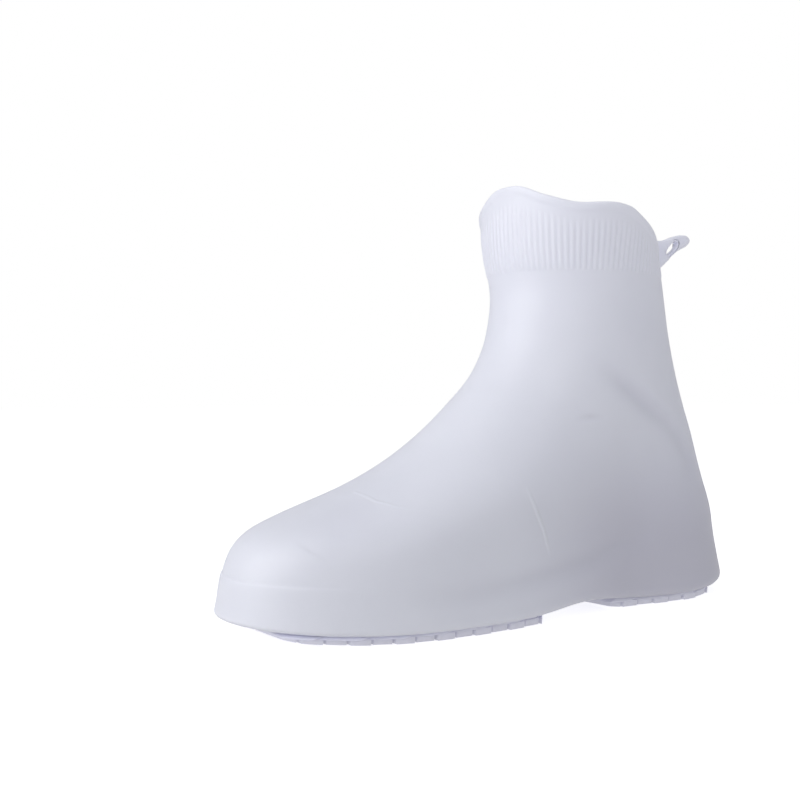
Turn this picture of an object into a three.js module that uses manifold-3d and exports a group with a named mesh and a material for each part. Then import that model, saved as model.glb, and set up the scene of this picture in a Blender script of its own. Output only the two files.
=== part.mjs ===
// A slip-on waterproof overshoe, moulded in soft silicone rubber.
// A hollow boot-shaped shell with a ribbed collar stands on two treaded pads, and a pull loop
// grows from the back of the collar.
// Millimetres, +Z up, toe towards -Y, outer side of the foot towards +X. The floor is at z = 0.

import * as THREE from 'three';
import Module from 'manifold-3d';

const wasm = await Module();
wasm.setup();

// Overall sizes: toe to heel, widest section, and floor to rim at the sides
const coverLength = 312;
const ballWidth = 110;
const sideHeight = 218;

// Walls, and the gap between pieces that touch
const wallThickness = 2;
const soleThickness = 3;
const seatGap = 0.3;

// Sole: depth of the treads, rounding of the shell's lower edge, lift of the toe and of the arch
const treadDepth = 4.6;
const edgeRadius = 4;
const toeSpring = 5;
const toeSpringLength = 96;
const heelSpring = 4;
const heelSpringLength = 50;
const archRise = 3;
const archLength = 54;
const archPlace = 36;
const liftFade = 50;
const toeTurnIn = 4;

// The raised band round the sole fades out behind the toe
const bandHeight = 23;
const bandProud = 0.6;
const bandLength = 80;
const bandEdge = 1.4;

// Collar: ribs, and the smooth bead along the rim
const ribCount = 100;
const ribDepth = 0.7;
const ribFoot = 184;
const ribGap = 3;
const ribRunout = 2;
const beadHeight = 4;
const beadProud = 0.7;
const rimRounding = 0.8;

// Treads: inset from the shell's edge, edge lugs and the notches between the blocks
const treadInset = 6;
const lugPitch = 20;
const lugProud = 2.4;
const lugThickness = 1.4;
const notchPitch = 10.2;
const notchWidth = 1.6;
const notchDepth = 3.2;
const notchLength = 16;
const notchTurn = 0.23;
const treadEndRound = 14;

// Where the treads start and end, as shares of coverLength from the toe
const forefootStart = 0.067;
const forefootEnd = 0.538;
const heelStart = 0.673;
const heelEnd = 0.95;

// Pull loop: a flat finger with a slot, standing on the collar's back in its middle plane
const loopLength = 41;
const loopThickness = 5;
const loopRootHeight = 25;
const loopSlotLength = 11;
const loopSlotHeight = 4;
const loopSlotLean = 0.8;
const loopSlotDrop = 5.6;
const loopSlotFromTip = 14.5;
const loopRounding = 1;

// Sections from the sole up. height is a share of sideHeight. front and back are the shell's ends
// before and behind its middle, as shares of coverLength, and width is a share of ballWidth.
const sections = [
  { height: 0.020, front: 0.500, back: 0.512, width: 0.507 },
  { height: 0.054, front: 0.489, back: 0.506, width: 0.504 },
  { height: 0.098, front: 0.485, back: 0.499, width: 0.500 },
  { height: 0.143, front: 0.478, back: 0.492, width: 0.497 },
  { height: 0.183, front: 0.467, back: 0.487, width: 0.493 },
  { height: 0.223, front: 0.442, back: 0.483, width: 0.487 },
  { height: 0.263, front: 0.379, back: 0.474, width: 0.479 },
  { height: 0.312, front: 0.283, back: 0.459, width: 0.468 },
  { height: 0.370, front: 0.202, back: 0.445, width: 0.450 },
  { height: 0.437, front: 0.135, back: 0.431, width: 0.431 },
  { height: 0.512, front: 0.078, back: 0.412, width: 0.409 },
  { height: 0.597, front: 0.024, back: 0.391, width: 0.395 },
  { height: 0.695, front: -0.008, back: 0.371, width: 0.390 },
  { height: 0.802, front: -0.020, back: 0.354, width: 0.400 },
  { height: 0.914, front: -0.008, back: 0.335, width: 0.432 },
  { height: 1.034, front: -0.005, back: 0.315, width: 0.478 },
];

// How the sole's outline differs from an ellipse: width is multiplied by this share. along runs
// from the toe, 0, to the heel, 1.
const soleOutline = [
  { along: 0, share: 1.4 },
  { along: 0.1, share: 1.29 },
  { along: 0.3, share: 1.115 },
  { along: 0.5, share: 0.917 },
  { along: 0.6, share: 0.799 },
  { along: 0.7, share: 0.745 },
  { along: 0.8, share: 0.86 },
  { along: 0.9, share: 1.05 },
  { along: 1, share: 1.2 },
];
const outlineFadeFrom = 40;
const outlineFadeTo = 140;

// The rim, from the middle of the front, 0, to the middle of the back, 0.5. height is a share of
// sideHeight. The front peak lies a little to the outer side, by rimTwist of a turn.
const rimTwist = 0.034;
const rim = [
  { turn: 0, height: 1.058 },
  { turn: 0.02, height: 1.057 },
  { turn: 0.08, height: 1.026 },
  { turn: 0.15, height: 1.004 },
  { turn: 0.21, height: 1.007 },
  { turn: 0.25, height: 1.001 },
  { turn: 0.28, height: 0.985 },
  { turn: 0.34, height: 0.952 },
  { turn: 0.375, height: 0.926 },
  { turn: 0.42, height: 0.938 },
  { turn: 0.48, height: 0.986 },
  { turn: 0.5, height: 0.987 },
];

// Folds, hollows and humps of the wall. Each follows its points in the side view: y is a share of
// coverLength from the middle, z a share of sideHeight, and depth, in mm, presses in, or out if negative.
const folds = [
  { name: 'ankle fold', side: 1, width: 6 },
  { name: 'hump over the ankle fold', side: 1, width: 6 },
  { name: 'hollow over the band', side: 1, width: 6 },
  { name: 'toe dent', side: 1, width: 14 },
  { name: 'inner ankle fold', side: -1, width: 7 },
];
const foldPoints = [
  { fold: 'ankle fold', y: 0.13, z: 0.615, depth: 0 },
  { fold: 'ankle fold', y: 0.188, z: 0.563, depth: 1.7 },
  { fold: 'ankle fold', y: 0.232, z: 0.523, depth: 2 },
  { fold: 'ankle fold', y: 0.302, z: 0.471, depth: 1.5 },
  { fold: 'ankle fold', y: 0.335, z: 0.426, depth: 1.5 },
  { fold: 'ankle fold', y: 0.361, z: 0.382, depth: 1.4 },
  { fold: 'ankle fold', y: 0.366, z: 0.328, depth: 0.8 },
  { fold: 'ankle fold', y: 0.364, z: 0.256, depth: 0 },
  { fold: 'hump over the ankle fold', y: 0.222, z: 0.599, depth: 0 },
  { fold: 'hump over the ankle fold', y: 0.252, z: 0.548, depth: -1 },
  { fold: 'hump over the ankle fold', y: 0.289, z: 0.515, depth: -1 },
  { fold: 'hump over the ankle fold', y: 0.333, z: 0.475, depth: 0 },
  { fold: 'hollow over the band', y: -0.262, z: 0.1, depth: 0 },
  { fold: 'hollow over the band', y: -0.155, z: 0.096, depth: 0.8 },
  { fold: 'hollow over the band', y: -0.054, z: 0.108, depth: 1.2 },
  { fold: 'hollow over the band', y: 0.038, z: 0.124, depth: 1.6 },
  { fold: 'hollow over the band', y: 0.121, z: 0.139, depth: 1.7 },
  { fold: 'hollow over the band', y: 0.176, z: 0.163, depth: 1.5 },
  { fold: 'hollow over the band', y: 0.238, z: 0.176, depth: 1.2 },
  { fold: 'hollow over the band', y: 0.29, z: 0.195, depth: 0 },
  { fold: 'toe dent', y: -0.33, z: 0.262, depth: 0.8 },
  { fold: 'toe dent', y: -0.3, z: 0.274, depth: 0.8 },
  { fold: 'inner ankle fold', y: 0.112, z: 0.59, depth: 0 },
  { fold: 'inner ankle fold', y: 0.17, z: 0.555, depth: 1.2 },
  { fold: 'inner ankle fold', y: 0.24, z: 0.5, depth: 1.7 },
  { fold: 'inner ankle fold', y: 0.305, z: 0.44, depth: 1.2 },
  { fold: 'inner ankle fold', y: 0.345, z: 0.37, depth: 0 },
];
const foldFadeWidth = 25;

// A smooth curve through one column of a table, level past its ends and without overshoot
function readTable(rows, key, column, at) {
  const last = rows.length - 1;
  if (at <= rows[0][key]) return rows[0][column];
  if (at >= rows[last][key]) return rows[last][column];
  let row = 0;
  while (at > rows[row + 1][key]) row += 1;
  const stretch = (k) => rows[k + 1][key] - rows[k][key];
  const slope = (k) => (rows[k + 1][column] - rows[k][column]) / stretch(k);
  const tangent = (k) => {
    if (k === 0) return slope(0);
    if (k === last) return slope(last - 1);
    const product = slope(k - 1) * slope(k);
    return product <= 0 ? 0 : (2 * product) / (slope(k - 1) + slope(k));
  };
  const s = (at - rows[row][key]) / stretch(row);
  const from = rows[row][column];
  const to = rows[row + 1][column];
  const bulge = (1 - s) * tangent(row) - s * tangent(row + 1);
  const ease = s * s * (3 - 2 * s);
  return from + (to - from) * ease + s * (1 - s) * bulge * stretch(row);
}

const { smoothstep } = THREE.MathUtils;

// The ground line of the sole: the toe and the heel's end spring up from the floor, and so does the arch
function springAt(y) {
  const fromToe = y + coverLength / 2;
  const toHeel = coverLength / 2 - y;
  return toeSpring * Math.max(0, 1 - fromToe / toeSpringLength) ** 2
    + heelSpring * Math.max(0, 1 - toHeel / heelSpringLength) ** 2;
}

function archAt(y) {
  const fromArch = (y - archPlace) / (archLength / 2);
  return archRise * Math.exp(-(fromArch ** 2));
}

// A point of the shell's outer wall. turn runs once round the shell: toe 0, outer side 0.25, heel 0.5.
// height is measured from the floor under the flat of the sole; inset moves the point inwards.
function wallPoint(turn, height, inset = 0) {
  const share = height / sideHeight;
  const front = -coverLength * readTable(sections, 'height', 'front', share);
  const back = coverLength * readTable(sections, 'height', 'back', share);
  const halfWidth = ballWidth * readTable(sections, 'height', 'width', share);
  const angle = 2 * Math.PI * turn;
  const along = (1 - Math.cos(angle)) / 2;
  const footShare = 1 - smoothstep(height, outlineFadeFrom, outlineFadeTo);
  const outline = 1 + (readTable(soleOutline, 'along', 'share', along) - 1) * footShare;
  const x = (halfWidth * outline - inset) * Math.sin(angle) - toeTurnIn * footShare * (1 - along) ** 2;
  const y = (front + back) / 2 - ((back - front) / 2 - inset) * Math.cos(angle);
  const raised = Math.max(0, 1 - (height - treadDepth) / liftFade);
  return new THREE.Vector3(x, y, height + (springAt(y) + archAt(y)) * raised);
}

// The wall's outward direction
function wallNormal(turn, height) {
  const turnStep = 0.002;
  const heightStep = 0.5;
  const around = wallPoint(turn + turnStep, height).sub(wallPoint(turn - turnStep, height));
  const up = wallPoint(turn, height + heightStep).sub(wallPoint(turn, height - heightStep));
  return around.cross(up).normalize();
}

// Each fold's stretches, from one of its points to the next
const foldStretches = folds.flatMap(({ name, side, width }) => {
  const points = foldPoints.filter(({ fold }) => fold === name);
  return points.slice(1).map((to, k) => ({ side, width, from: points[k], to }));
});

// How deep the folds press the wall in at a point
function foldDepth(point) {
  let pressed = 0;
  let raised = 0;
  foldStretches.forEach(({ side, width, from, to }) => {
    const start = new THREE.Vector2(from.y * coverLength, from.z * sideHeight);
    const run = new THREE.Vector2(to.y * coverLength, to.z * sideHeight).sub(start);
    const place = new THREE.Vector2(point.y, point.z).sub(start);
    const reach = THREE.MathUtils.clamp(place.dot(run) / run.lengthSq(), 0, 1);
    const distance = place.sub(run.multiplyScalar(reach)).length();
    const depth = (from.depth + (to.depth - from.depth) * reach) * Math.exp(-((distance / width) ** 2))
      * smoothstep(point.x * side, 0, foldFadeWidth);
    pressed = Math.max(pressed, depth);
    raised = Math.min(raised, depth);
  });
  return pressed + raised;
}

// A point below the wall's outer face by depth, following the folds
function skinPoint(turn, height, depth) {
  const point = wallPoint(turn, height);
  const inwards = depth + foldDepth(point);
  return point.addScaledVector(wallNormal(turn, height), -inwards);
}

function rimHeight(turn) {
  const twisted = turn - rimTwist * Math.cos(Math.PI * turn) ** 2;
  const wrapped = twisted - Math.floor(twisted);
  return sideHeight * readTable(rim, 'turn', 'height', Math.min(wrapped, 1 - wrapped));
}

// The band round the sole stands proud of the wall at the toe and runs out along the sides
function bandAt(y) {
  return bandProud * (1 - smoothstep(y + coverLength / 2, 0, bandLength));
}

function evenTurns(count) {
  return Array.from({ length: count }, (unused, k) => k / count);
}

// Turns that are evenly spaced along the collar
function collarTurns(count) {
  const fine = evenTurns(720);
  const height = ribFoot;
  const lengths = [0];
  fine.forEach((turn, k) => {
    const step = wallPoint(turn, height).distanceTo(wallPoint(turn + 1 / 720, height));
    lengths.push(lengths[k] + step);
  });
  const whole = lengths[720];
  return evenTurns(count).map((share) => {
    let k = 0;
    while (lengths[k + 1] < share * whole) k += 1;
    return (k + (share * whole - lengths[k]) / (lengths[k + 1] - lengths[k])) / 720;
  });
}

// A ring of points, each with its turn, so that rings with different counts can be joined
function makeRing(turns, pointAt) {
  return turns.map((turn, index) => ({ turn, point: pointAt(turn, index) }));
}

// One closed body: rings joined each to the next, with the first and the last filled in.
// The rings run anticlockwise seen from above, and the body's surface starts below.
function bodyFromRings(rings) {
  const positions = [];
  const triangles = [];
  const starts = rings.map((ring) => {
    const start = positions.length / 3;
    ring.forEach(({ point }) => positions.push(point.x, point.y, point.z));
    return start;
  });
  rings.slice(1).forEach((above, k) => {
    joinRings(rings[k], starts[k], above, starts[k + 1], triangles);
  });
  fillRing(rings[0].length, starts[0], true, triangles);
  fillRing(rings.at(-1).length, starts.at(-1), false, triangles);
  return { positions, triangles };
}

function joinRings(below, belowStart, above, aboveStart, triangles) {
  let a = 0;
  let b = 0;
  const turnOf = (ring, k) => (k < ring.length ? ring[k].turn : 1 + ring[0].turn);
  const belowAt = (k) => belowStart + (k % below.length);
  const aboveAt = (k) => aboveStart + (k % above.length);
  while (a < below.length || b < above.length) {
    const stepBelow = b >= above.length
      || (a < below.length && turnOf(below, a + 1) <= turnOf(above, b + 1));
    if (stepBelow) {
      triangles.push(belowAt(a), belowAt(a + 1), aboveAt(b));
      a += 1;
    } else {
      triangles.push(belowAt(a), aboveAt(b + 1), aboveAt(b));
      b += 1;
    }
  }
}

// Fills a ring by strips across it. The points of its first half face those of its second half.
function fillRing(count, start, facingDown, triangles) {
  const add = (a, b, c) => {
    if (facingDown) triangles.push(start + a, start + c, start + b);
    else triangles.push(start + a, start + b, start + c);
  };
  for (let k = 0; k < count / 2 - 1; k += 1) {
    const across = count - k - 1;
    add(k, k + 1, across);
    add(k + 1, across - 1, across);
  }
}

// The shell's lower edge is rounded: insets and heights round a quarter circle
const edgeSteps = 3;
function edgeRing(turns, step, floorHeight, radius, depth) {
  const angle = (step / edgeSteps) * (Math.PI / 2);
  const height = floorHeight + radius * (1 - Math.cos(angle));
  const inset = depth + radius * (1 - Math.sin(angle));
  return makeRing(turns, (turn) => wallPoint(turn, height, inset));
}

// Heights between the band and the foot of the ribs, closer together over the toe
const wallSteps = 13;
const wallSpread = 1.3;
const bandTop = treadDepth + bandHeight;
function wallHeight(step) {
  return bandTop + (ribFoot - bandTop) * (step / wallSteps) ** wallSpread;
}

function buildShell() {
  const outerTurns = evenTurns(60);
  const innerTurns = evenTurns(48);
  const ribTurns = collarTurns(2 * ribCount);
  const rings = [];

  // Outside, from the sole's underside up
  for (let step = 0; step <= edgeSteps; step += 1) {
    rings.push(edgeRing(outerTurns, step, treadDepth, edgeRadius, 0));
  }
  const bandHeights = [treadDepth + bandHeight / 2, bandTop - bandEdge / 2];
  bandHeights.forEach((height) => {
    rings.push(makeRing(outerTurns, (turn) => {
      const proud = bandAt(wallPoint(turn, height).y);
      return skinPoint(turn, height, -proud);
    }));
  });
  rings.push(makeRing(outerTurns, (turn) => skinPoint(turn, bandTop + bandEdge / 2, 0)));
  for (let step = 1; step <= wallSteps; step += 1) {
    rings.push(makeRing(outerTurns, (turn) => skinPoint(turn, wallHeight(step), 0)));
  }

  // Ribs: every second point stands proud
  const ribTop = (turn) => rimHeight(turn) - beadHeight - ribGap;
  [0, 0.5, 1].forEach((share) => {
    const foot = ribFoot + ribRunout;
    rings.push(makeRing(ribTurns, (turn, index) => {
      const height = foot + (ribTop(turn) - foot) * share;
      return skinPoint(turn, height, index % 2 === 0 ? 0 : -ribDepth);
    }));
  });

  // The smooth bead and the rim
  const rimRows = [
    { below: beadHeight + rimRounding, depth: 0 },
    { below: beadHeight, depth: 0 },
    { below: beadHeight - rimRounding, depth: -beadProud },
    { below: rimRounding, depth: -beadProud },
    { below: 0, depth: 0 },
  ];
  rimRows.forEach(({ below, depth }) => {
    rings.push(makeRing(outerTurns, (turn) => skinPoint(turn, rimHeight(turn) - below, depth)));
  });
  const innerRimRows = [
    { below: 0, depth: wallThickness - rimRounding },
    { below: rimRounding, depth: wallThickness },
  ];
  innerRimRows.forEach(({ below, depth }) => {
    rings.push(makeRing(innerTurns, (turn) => skinPoint(turn, rimHeight(turn) - below, depth)));
  });

  // Inside, back down to the floor of the shoe's hollow
  [0.66, 0.33].forEach((share) => {
    rings.push(makeRing(innerTurns, (turn) => {
      const height = ribFoot + (rimHeight(turn) - ribFoot) * share;
      return skinPoint(turn, height, wallThickness);
    }));
  });
  for (let step = wallSteps; step >= 0; step -= 1) {
    rings.push(makeRing(innerTurns, (turn) => skinPoint(turn, wallHeight(step), wallThickness)));
  }
  const floorHeight = treadDepth + soleThickness;
  const innerRadius = Math.max(edgeRadius - wallThickness, 1);
  for (let step = edgeSteps; step >= 0; step -= 1) {
    rings.push(edgeRing(innerTurns, step, floorHeight, innerRadius, wallThickness));
  }
  return bodyFromRings(rings);
}

// Half width of the sole's underside at a place along it, and the middle of the sole there
function soleAt(y, inset) {
  const toe = wallPoint(0, treadDepth, inset).y;
  const heel = wallPoint(0.5, treadDepth, inset).y;
  const middle = (toe + heel) / 2;
  const turn = Math.acos(THREE.MathUtils.clamp((middle - y) / ((heel - toe) / 2), -1, 1)) / (2 * Math.PI);
  const outer = wallPoint(turn, treadDepth, inset);
  const inner = wallPoint(1 - turn, treadDepth, inset);
  return { halfWidth: (outer.x - inner.x) / 2, middle: (outer.x + inner.x) / 2 };
}

// Where a lug's swelling starts, grows and ends, as shares of its pitch, and how far from the very
// end of a tread its outline is closed, as a share of the rounding
const lugShares = [0.02, 0.35, 0.7, 0.98];
const treadEndShare = 0.06;

// Places along a tread: each edge lug swells backwards and ends in a step
function lugStations(from, to) {
  const lugCount = Math.max(1, Math.round((to - from) / lugPitch));
  const pitch = (to - from) / lugCount;
  const stations = [];
  for (let lug = 0; lug < lugCount; lug += 1) {
    lugShares.forEach((share) => {
      stations.push({ y: from + pitch * (lug + share), swell: share, lug });
    });
  }
  return stations;
}

// One ring of a tread: down the outer side and back along the inner side. The ends are rounded.
function treadRing(stations, from, to, inset, swellBy, heightAt) {
  const half = (station, side) => {
    const { halfWidth, middle } = soleAt(station.y, inset);
    const fromEnd = Math.min(station.y - from, to - station.y);
    const share = THREE.MathUtils.clamp(fromEnd / treadEndRound, treadEndShare, 1);
    const round = Math.sqrt(1 - (1 - share) ** 2);
    const reach = (halfWidth - lugProud) * round + swellBy * station.swell;
    return new THREE.Vector3(middle + side * reach, station.y, heightAt(station.y));
  };
  const points = [
    ...stations.map((station) => half(station, 1)),
    ...stations.map((station) => half(station, -1)).reverse(),
  ];
  return points.map((point, index) => ({ turn: index / points.length, point }));
}

// A body's triangles as a solid for cutting, and a solid's as geometry
function solidFrom({ positions, triangles }) {
  return new wasm.Manifold(new wasm.Mesh({
    numProp: 3,
    vertProperties: new Float32Array(positions),
    triVerts: new Uint32Array(triangles),
  }));
}

function bodyFromSolid(solid) {
  const { vertProperties, triVerts } = solid.getMesh();
  return { positions: Array.from(vertProperties), triangles: Array.from(triVerts) };
}

// A straight prism standing on a turned rectangle, for the notches between the blocks
function notchBody(centre, turned, length, width, bottom, top) {
  const alongNotch = new THREE.Vector2(Math.cos(turned), Math.sin(turned)).multiplyScalar(length / 2);
  const acrossNotch = new THREE.Vector2(-Math.sin(turned), Math.cos(turned)).multiplyScalar(width / 2);
  const corner = (a, b) => centre.clone().addScaledVector(alongNotch, a).addScaledVector(acrossNotch, b);
  const corners = [corner(-1, -1), corner(1, -1), corner(1, 1), corner(-1, 1)];
  const ring = (height) => corners.map((place, index) => ({
    turn: index / 4,
    point: new THREE.Vector3(place.x, place.y, height),
  }));
  return bodyFromRings([ring(bottom), ring(top)]);
}

function buildTread(from, to) {
  const stations = lugStations(from, to);
  const underside = (y) => treadDepth - seatGap + springAt(y) + archAt(y);
  const lugUnder = (y) => treadDepth - seatGap - lugThickness + springAt(y);
  const ring = (inset, swellBy, heightAt) => treadRing(stations, from, to, inset, swellBy, heightAt);
  let tread = solidFrom(bodyFromRings([
    ring(treadInset, lugProud, springAt),
    ring(treadInset - 0.4, lugProud, lugUnder),
    ring(treadInset - 1, lugProud, lugUnder),
    ring(treadInset - 1, lugProud, underside),
  ]));
  const blockCount = Math.max(1, Math.round((to - from) / notchPitch));
  for (let block = 1; block < blockCount; block += 1) {
    [1, -1].forEach((side) => {
      const y = from + ((to - from) * block) / blockCount;
      const { halfWidth, middle } = soleAt(y, treadInset);
      const centre = new THREE.Vector2(middle + side * (halfWidth - notchLength / 2 + 1), y);
      const top = springAt(y) + notchDepth;
      const notch = notchBody(centre, side * notchTurn, notchLength, notchWidth, -1, top);
      tread = tread.subtract(solidFrom(notch));
    });
  }
  return bodyFromSolid(tread);
}

// The pull loop in side view: a finger that flares at its root. along is a share of loopLength;
// the two edges are heights over the root's upper end, as shares of loopRootHeight.
const fingerEdges = [
  { along: 0, upper: 0, lower: -1 },
  { along: 0.2, upper: 0, lower: -0.84 },
  { along: 0.42, upper: 0, lower: -0.63 },
  { along: 0.55, upper: 0.04, lower: -0.48 },
  { along: 0.68, upper: 0.12, lower: -0.3 },
  { along: 0.82, upper: 0.18, lower: -0.17 },
  { along: 0.93, upper: 0.19, lower: -0.09 },
  { along: 1, upper: 0.12, lower: 0.01 },
];

// A ring round the finger's outline at one place across its thickness
function fingerRing(x, inset) {
  const rootTop = rimHeight(0.5) - beadHeight;
  const wallAt = (height) => skinPoint(0.5, height, -ribDepth).y + seatGap;
  const reach = wallAt(rootTop) + loopLength;
  const edge = (row, column, side) => {
    const height = rootTop + loopRootHeight * row[column] - side * inset;
    const root = wallAt(height);
    return new THREE.Vector3(x, root + (reach - inset - root) * row.along, height);
  };
  const points = [
    ...fingerEdges.map((row) => edge(row, 'lower', -1)),
    ...fingerEdges.map((row) => edge(row, 'upper', 1)).reverse(),
  ];
  return points.map((point, index) => ({ turn: index / points.length, point }));
}

// The slot's outline, a bar with round ends that follows the finger's middle line
function slotRing(x) {
  const tip = fingerRing(x, 0)[fingerEdges.length - 1].point;
  const half = (loopSlotLength - loopSlotHeight) / 2;
  const centreY = tip.y - loopSlotFromTip;
  const centreZ = tip.z - loopSlotDrop;
  const count = 12;
  return Array.from({ length: count }, (unused, k) => {
    const angle = (Math.PI * 2 * (k + 0.5)) / count + Math.PI;
    const side = Math.cos(angle) > 0 ? half : -half;
    const alongSlot = side + (Math.cos(angle) * loopSlotHeight) / 2;
    const acrossSlot = (Math.sin(angle) * loopSlotHeight) / 2;
    const y = centreY + alongSlot * Math.cos(loopSlotLean) - acrossSlot * Math.sin(loopSlotLean);
    const z = centreZ + alongSlot * Math.sin(loopSlotLean) + acrossSlot * Math.cos(loopSlotLean);
    return { turn: k / count, point: new THREE.Vector3(x, y, z) };
  });
}

function buildPullLoop() {
  const face = loopThickness / 2;
  const finger = solidFrom(bodyFromRings([
    fingerRing(-face, loopRounding),
    fingerRing(-face + loopRounding, 0),
    fingerRing(face - loopRounding, 0),
    fingerRing(face, loopRounding),
  ]));
  const slot = solidFrom(bodyFromRings([slotRing(-loopThickness), slotRing(loopThickness)]));
  return bodyFromSolid(finger.subtract(slot));
}

function geometryFrom({ positions, triangles }) {
  const geometry = new THREE.BufferGeometry();
  geometry.setAttribute('position', new THREE.Float32BufferAttribute(positions, 3));
  geometry.setIndex(triangles);
  geometry.computeVertexNormals();
  return geometry;
}

// Milky, slightly translucent rubber, the treads a shade greyer
function silicone(color, roughness) {
  return new THREE.MeshStandardMaterial({ color, roughness, metalness: 0 });
}

const forefootFrom = -coverLength / 2 + forefootStart * coverLength;
const forefootTo = -coverLength / 2 + forefootEnd * coverLength;
const heelFrom = -coverLength / 2 + heelStart * coverLength;
const heelTo = -coverLength / 2 + heelEnd * coverLength;

const pieces = {
  shell: { geometry: geometryFrom(buildShell()), material: silicone(0xd9dae8, 0.42) },
  forefoot_tread: {
    geometry: geometryFrom(buildTread(forefootFrom, forefootTo)),
    material: silicone(0xc6c8d6, 0.5),
  },
  heel_tread: {
    geometry: geometryFrom(buildTread(heelFrom, heelTo)),
    material: silicone(0xc6c8d6, 0.5),
  },
  pull_loop: { geometry: geometryFrom(buildPullLoop()), material: silicone(0xd2d3e1, 0.42) },
};

const group = new THREE.Group();
Object.entries(pieces).forEach(([name, { geometry, material }]) => {
  const mesh = new THREE.Mesh(geometry, material);
  mesh.name = name;
  group.add(mesh);
});

// Stand the origin under the middle of the whole box
const box = new THREE.Box3().setFromObject(group);
const middle = box.getCenter(new THREE.Vector3());
group.children.forEach((mesh) => mesh.position.set(-middle.x, -middle.y, -box.min.z));

export default group;
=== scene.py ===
import math
import bpy
import bmesh
import numpy as np
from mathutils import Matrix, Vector


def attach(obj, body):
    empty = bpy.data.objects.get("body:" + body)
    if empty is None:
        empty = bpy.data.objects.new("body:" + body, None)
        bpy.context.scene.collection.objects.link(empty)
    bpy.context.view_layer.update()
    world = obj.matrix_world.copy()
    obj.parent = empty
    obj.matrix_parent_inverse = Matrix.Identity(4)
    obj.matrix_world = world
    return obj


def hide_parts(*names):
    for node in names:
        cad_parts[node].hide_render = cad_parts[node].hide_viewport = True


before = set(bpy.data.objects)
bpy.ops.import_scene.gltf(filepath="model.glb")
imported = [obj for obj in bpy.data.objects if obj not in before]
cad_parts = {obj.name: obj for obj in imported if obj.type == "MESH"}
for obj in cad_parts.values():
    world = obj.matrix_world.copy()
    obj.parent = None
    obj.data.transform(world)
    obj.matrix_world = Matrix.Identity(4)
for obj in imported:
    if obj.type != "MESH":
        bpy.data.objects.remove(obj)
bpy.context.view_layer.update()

# the cover's own sizes, in metres, and where the middle of its length and width lies in the frame
coverLength = 0.312
sideHeight = 0.218
ballWidth = 0.110
middle = Vector((0.0019, -0.0022, 0))


def clearSelection():
    if bpy.context.object and bpy.context.object.mode != "OBJECT":
        bpy.ops.object.mode_set(mode="OBJECT")
    bpy.ops.object.select_all(action="DESELECT")


def selectOnly(piece):
    clearSelection()
    bpy.context.view_layer.objects.active = piece
    piece.select_set(True)


def smoothStep(x, low, high):
    t = np.clip((x - low) / (high - low), 0, 1)
    return t * t * (3 - 2 * t)


def readTable(rows, at):
    # smooth curve through (key, value) rows, without overshoot, level past the ends
    keys = np.array([row[0] for row in rows], float)
    values = np.array([row[1] for row in rows], float)
    step = np.diff(keys)
    slope = np.diff(values) / step
    tangent = np.empty(len(keys))
    tangent[0], tangent[-1] = slope[0], slope[-1]
    product = slope[:-1] * slope[1:]
    total = slope[:-1] + slope[1:]
    tangent[1:-1] = np.where(product > 0, 2 * product / np.where(product > 0, total, 1), 0)
    at = np.clip(np.asarray(at, float), keys[0], keys[-1])
    row = np.clip(np.searchsorted(keys, at, side="right") - 1, 0, len(keys) - 2)
    s = (at - keys[row]) / step[row]
    bulge = (1 - s) * tangent[row] - s * tangent[row + 1]
    ease = s * s * (3 - 2 * s)
    return values[row] + (values[row + 1] - values[row]) * ease + s * (1 - s) * bulge * step[row]


# the boot's sections: height as a share of the side height, front and back ends as shares of
# the length, half width as a share of the ball width
sectionRows = {
    "front": [(0.02, 0.5), (0.054, 0.489), (0.098, 0.485), (0.143, 0.478), (0.183, 0.467),
              (0.223, 0.442), (0.263, 0.379), (0.312, 0.283), (0.37, 0.202), (0.437, 0.135),
              (0.512, 0.078), (0.597, 0.024), (0.695, -0.008), (0.802, -0.02), (0.914, -0.008),
              (1.034, -0.005)],
    "back": [(0.02, 0.512), (0.054, 0.506), (0.098, 0.499), (0.143, 0.492), (0.183, 0.487),
             (0.223, 0.483), (0.263, 0.474), (0.312, 0.459), (0.37, 0.445), (0.437, 0.431),
             (0.512, 0.412), (0.597, 0.391), (0.695, 0.371), (0.802, 0.354), (0.914, 0.335),
             (1.034, 0.315)],
    "width": [(0.02, 0.507), (0.054, 0.504), (0.098, 0.5), (0.143, 0.497), (0.183, 0.493),
              (0.223, 0.487), (0.263, 0.479), (0.312, 0.468), (0.37, 0.45), (0.437, 0.431),
              (0.512, 0.409), (0.597, 0.395), (0.695, 0.39), (0.802, 0.4), (0.914, 0.432),
              (1.034, 0.478)],
}
soleOutlineRows = [(0, 1.4), (0.1, 1.29), (0.3, 1.115), (0.5, 0.917), (0.6, 0.799), (0.7, 0.745),
                   (0.8, 0.86), (0.9, 1.05), (1, 1.2)]
rimRows = [(0, 1.058), (0.02, 1.057), (0.08, 1.026), (0.15, 1.004), (0.21, 1.007), (0.25, 1.001),
           (0.28, 0.985), (0.34, 0.952), (0.375, 0.926), (0.42, 0.938), (0.48, 0.986), (0.5, 0.987)]
rimTwist = 0.034

soleSizes = {
    "treadDepth": 0.0046,
    "edgeRadius": 0.004,
    "toeSpring": 0.005,
    "toeSpringLength": 0.096,
    "heelSpring": 0.004,
    "heelSpringLength": 0.05,
    "archRise": 0.003,
    "archLength": 0.054,
    "archPlace": 0.036,
    "liftFade": 0.05,
    "toeTurnIn": 0.004,
    "outlineFade": (0.04, 0.14),
}


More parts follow.
